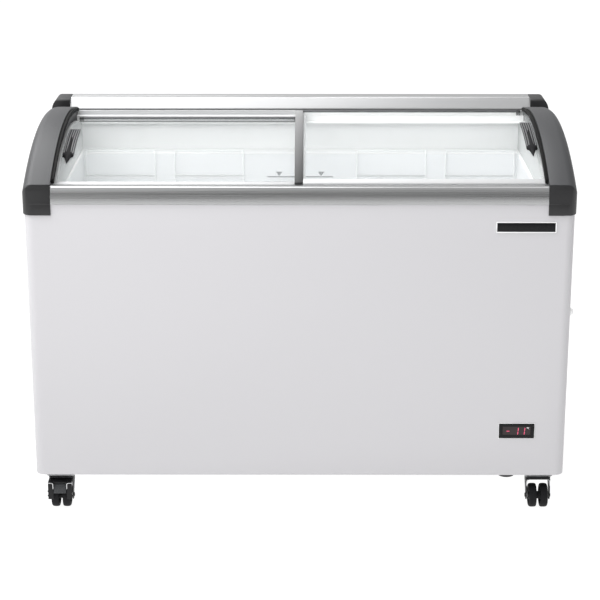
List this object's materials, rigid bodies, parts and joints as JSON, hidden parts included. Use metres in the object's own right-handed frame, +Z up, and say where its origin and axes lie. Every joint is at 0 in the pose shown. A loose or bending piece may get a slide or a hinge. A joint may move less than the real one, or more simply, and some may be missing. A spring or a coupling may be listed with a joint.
{
  "type": "chest freezer",
  "caption": "White chest freezer with a curved glass top: two sliding panes in dark end caps, wire baskets inside, a digital display low on the front, and twin-wheel casters.",
  "frame": {"origin": "middle of the footprint on the floor", "axes": "-Y is the front, +X is the right-hand side seen from the front, +Z is up"},
  "size_m": [1.327, 0.66, 0.945],
  "materials": {
    "white_enamel": "satin",
    "white_liner": "satin",
    "white_trim": "satin",
    "printed_label": "gloss",
    "satin_aluminium": "satin",
    "grey_plastic": "satin",
    "light_plastic": "satin",
    "dark_plastic": "satin",
    "black_plastic": "satin",
    "black_gloss": "gloss",
    "black_rubber": "matte",
    "wheel_rubber": "satin",
    "zinc_steel": "satin",
    "black_steel": "satin",
    "condenser_fins": "satin",
    "coated_wire": "gloss",
    "clear_glass": "polished",
    "display_window": "gloss",
    "insulation_foam": "matte"
  },
  "bodies": {
    "cabinet": {"outer_shell": "white_enamel", "rear_panel": "white_enamel", "base_panel": "zinc_steel", "foam_body": "insulation_foam", "tank_liner": "white_liner", "tank_rim": "white_trim", "load_line_label": "printed_label", "front_trim_rail": "satin_aluminium", "rear_trim_rail": "satin_aluminium", "front_track": "grey_plastic", "rear_track": "grey_plastic", "rear_header": "white_trim", "left_end_cap": "dark_plastic", "right_end_cap": "dark_plastic", "left_front_corner": "dark_plastic", "right_front_corner": "dark_plastic", "left_rear_corner": "dark_plastic", "right_rear_corner": "dark_plastic", "left_gasket": "black_rubber", "right_gasket": "black_rubber", "left_side_liner": "grey_plastic", "right_side_liner": "grey_plastic", "badge_plate": "black_gloss", "display_bezel": "black_gloss", "display_lens": "display_window", "rear_grille": "white_enamel", "side_grille": "white_enamel", "compressor": "black_steel", "compressor_tray": "zinc_steel", "condenser": "condenser_fins", "fan_shroud": "black_plastic", "left_base_channel": "zinc_steel", "right_base_channel": "zinc_steel", "drain_outlet": "black_plastic", "side_plug": "light_plastic", "cord_gland": "black_plastic", "front_left_caster_plate": "black_steel", "rear_left_caster_plate": "black_steel", "front_right_caster_plate": "black_steel", "rear_right_caster_plate": "black_steel"},
    "left_lid": {"left_lid_glass": "clear_glass", "left_lid_frame": "dark_plastic", "left_lid_handle": "black_plastic"},
    "right_lid": {"right_lid_glass": "clear_glass", "right_lid_frame": "dark_plastic", "right_lid_handle": "black_plastic"},
    "outer_left_basket": {"outer_left_basket": "coated_wire"},
    "inner_left_basket": {"inner_left_basket": "coated_wire"},
    "inner_right_basket": {"inner_right_basket": "coated_wire"},
    "outer_right_basket": {"outer_right_basket": "coated_wire"},
    "fan": {"fan_blades": "grey_plastic"},
    "brake_pedal": {"front_left_caster_brake_pedal": "grey_plastic"},
    "front_left_caster": {"front_left_caster_fork": "black_steel"},
    "front_left_wheels": {"front_left_caster_wheels": "wheel_rubber"},
    "rear_left_caster": {"rear_left_caster_fork": "black_steel"},
    "rear_left_wheels": {"rear_left_caster_wheels": "wheel_rubber"},
    "front_right_caster": {"front_right_caster_fork": "black_steel"},
    "front_right_wheels": {"front_right_caster_wheels": "wheel_rubber"},
    "rear_right_caster": {"rear_right_caster_fork": "black_steel"},
    "rear_right_wheels": {"rear_right_caster_wheels": "wheel_rubber"}
  },
  "joints": [
    {"name": "left_lid_slide", "type": "slide", "parent": "cabinet", "child": "left_lid", "axis": [1, 0, 0], "range_m": [0, 0.55]},
    {"name": "right_lid_slide", "type": "slide", "parent": "cabinet", "child": "right_lid", "axis": [1, 0, 0], "range_m": [-0.55, 0]},
    {"name": "outer_left_basket_lift", "type": "slide", "parent": "cabinet", "child": "outer_left_basket", "axis": [0, 0, 1], "range_m": [0, 0.03]},
    {"name": "inner_left_basket_lift", "type": "slide", "parent": "cabinet", "child": "inner_left_basket", "axis": [0, 0, 1], "range_m": [0, 0.03]},
    {"name": "inner_right_basket_lift", "type": "slide", "parent": "cabinet", "child": "inner_right_basket", "axis": [0, 0, 1], "range_m": [0, 0.03]},
    {"name": "outer_right_basket_lift", "type": "slide", "parent": "cabinet", "child": "outer_right_basket", "axis": [0, 0, 1], "range_m": [0, 0.03]},
    {"name": "front_left_swivel", "type": "hinge", "parent": "cabinet", "child": "front_left_caster", "pos_m": [-0.6045, -0.255, 0.0764], "axis": [0, 0, 1], "continuous": true},
    {"name": "front_left_roll", "type": "hinge", "parent": "front_left_caster", "child": "front_left_wheels", "pos_m": [-0.6045, -0.273, 0.03], "axis": [1, 0, 0], "continuous": true},
    {"name": "rear_left_swivel", "type": "hinge", "parent": "cabinet", "child": "rear_left_caster", "pos_m": [-0.6045, 0.255, 0.0764], "axis": [0, 0, 1], "continuous": true},
    {"name": "rear_left_roll", "type": "hinge", "parent": "rear_left_caster", "child": "rear_left_wheels", "pos_m": [-0.6045, 0.237, 0.03], "axis": [1, 0, 0], "continuous": true},
    {"name": "front_right_swivel", "type": "hinge", "parent": "cabinet", "child": "front_right_caster", "pos_m": [0.5975, -0.255, 0.0764], "axis": [0, 0, 1], "continuous": true},
    {"name": "front_right_roll", "type": "hinge", "parent": "front_right_caster", "child": "front_right_wheels", "pos_m": [0.5975, -0.273, 0.03], "axis": [1, 0, 0], "continuous": true},
    {"name": "rear_right_swivel", "type": "hinge", "parent": "cabinet", "child": "rear_right_caster", "pos_m": [0.5975, 0.255, 0.0764], "axis": [0, 0, 1], "continuous": true},
    {"name": "rear_right_roll", "type": "hinge", "parent": "rear_right_caster", "child": "rear_right_wheels", "pos_m": [0.5975, 0.237, 0.03], "axis": [1, 0, 0], "continuous": true},
    {"name": "brake_pedal_hinge", "type": "hinge", "parent": "front_left_caster", "child": "brake_pedal", "pos_m": [-0.6045, -0.283, 0.0709], "axis": [-1, 0, 0], "range_deg": [0, 14]},
    {"name": "fan_spin", "type": "hinge", "parent": "cabinet", "child": "fan", "pos_m": [0.4665, 0.2, 0.27], "axis": [0, 1, 0], "continuous": true}
  ]
}
